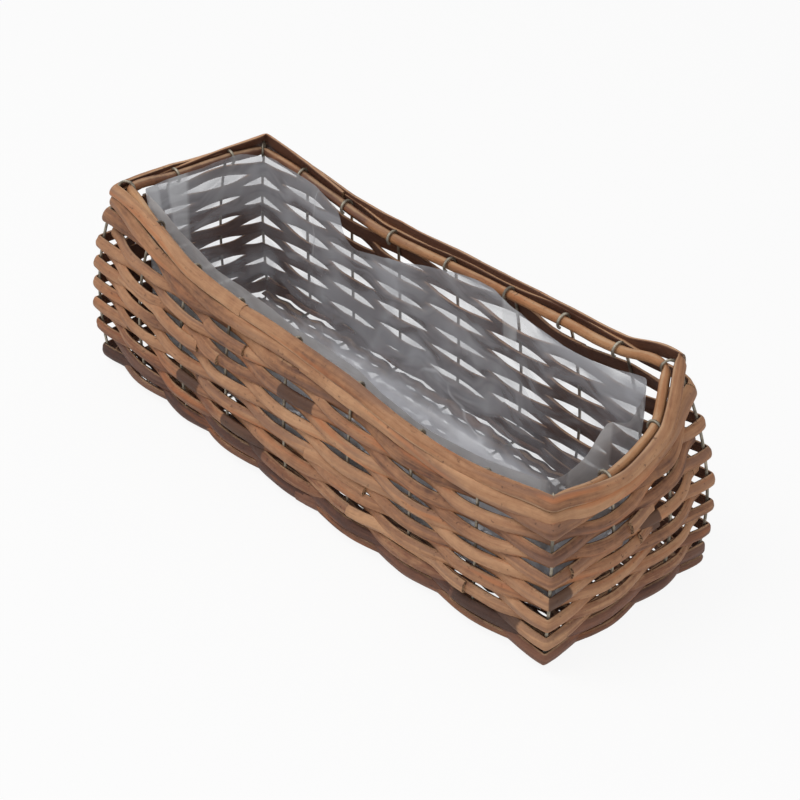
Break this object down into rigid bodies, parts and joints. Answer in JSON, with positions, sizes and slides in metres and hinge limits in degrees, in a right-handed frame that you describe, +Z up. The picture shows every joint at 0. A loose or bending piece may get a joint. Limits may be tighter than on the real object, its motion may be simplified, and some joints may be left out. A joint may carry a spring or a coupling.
{
  "type": "wicker planter basket",
  "caption": "Long rectangular planter basket of split willow woven round hooked wire stakes, with a loose open tray of clear film inside.",
  "frame": {"origin": "centre of the bounding box's underside, on the surface that the basket stands on", "axes": "+X along the basket's length, towards the end nearer the viewer; -Y towards the long side that faces the viewer; +Z up"},
  "size_m": [0.4733, 0.1693, 0.1664],
  "materials": {
    "wall_bark": "dry split willow with its tan bark on, satin",
    "lowest_band_bark": "dry split willow with darker bark, satin",
    "rim_bark": "dry split willow, paler where the bark has worn",
    "rim_rod_bark": "round willow rod, partly peeled",
    "foot_bark": "thin round willow rod with dark bark",
    "base_bark": "flat split willow, dark",
    "stake_wire": "galvanised wire, weathered dull",
    "clear_film": "clear thin film, glossy and crinkled"
  },
  "bodies": {
    "basket": {"band_1_weaver_a": "lowest_band_bark", "band_1_weaver_b": "lowest_band_bark", "band_2_weaver_a": "wall_bark", "band_2_weaver_b": "wall_bark", "band_3_weaver_a": "wall_bark", "band_3_weaver_b": "wall_bark", "band_4_weaver_a": "wall_bark", "band_4_weaver_b": "wall_bark", "band_5_weaver_a": "wall_bark", "band_5_weaver_b": "wall_bark", "rim_weaver_a": "rim_bark", "rim_weaver_b": "rim_bark", "rim_top_strand": "rim_bark", "rim_rod": "rim_rod_bark", "foot_rod": "foot_bark", "cross_stake_1": "stake_wire", "cross_stake_2": "stake_wire", "cross_stake_3": "stake_wire", "cross_stake_4": "stake_wire", "cross_stake_5": "stake_wire", "cross_stake_6": "stake_wire", "cross_stake_7": "stake_wire", "cross_stake_8": "stake_wire", "cross_stake_9": "stake_wire", "long_stake_1": "stake_wire", "long_stake_2": "stake_wire", "base_strand_1": "base_bark", "base_strand_2": "base_bark", "base_strand_3": "base_bark", "base_strand_4": "base_bark", "base_strand_5": "base_bark", "base_strand_6": "base_bark", "base_strand_7": "base_bark", "base_strand_8": "base_bark", "base_strand_9": "base_bark"},
    "liner": {"film_liner": "clear_film"}
  },
  "joints": [
    {"name": "liner_lift", "type": "slide", "parent": "basket", "child": "liner", "axis": [0, 0, 1], "range_m": [0, 0.17]}
  ]
}
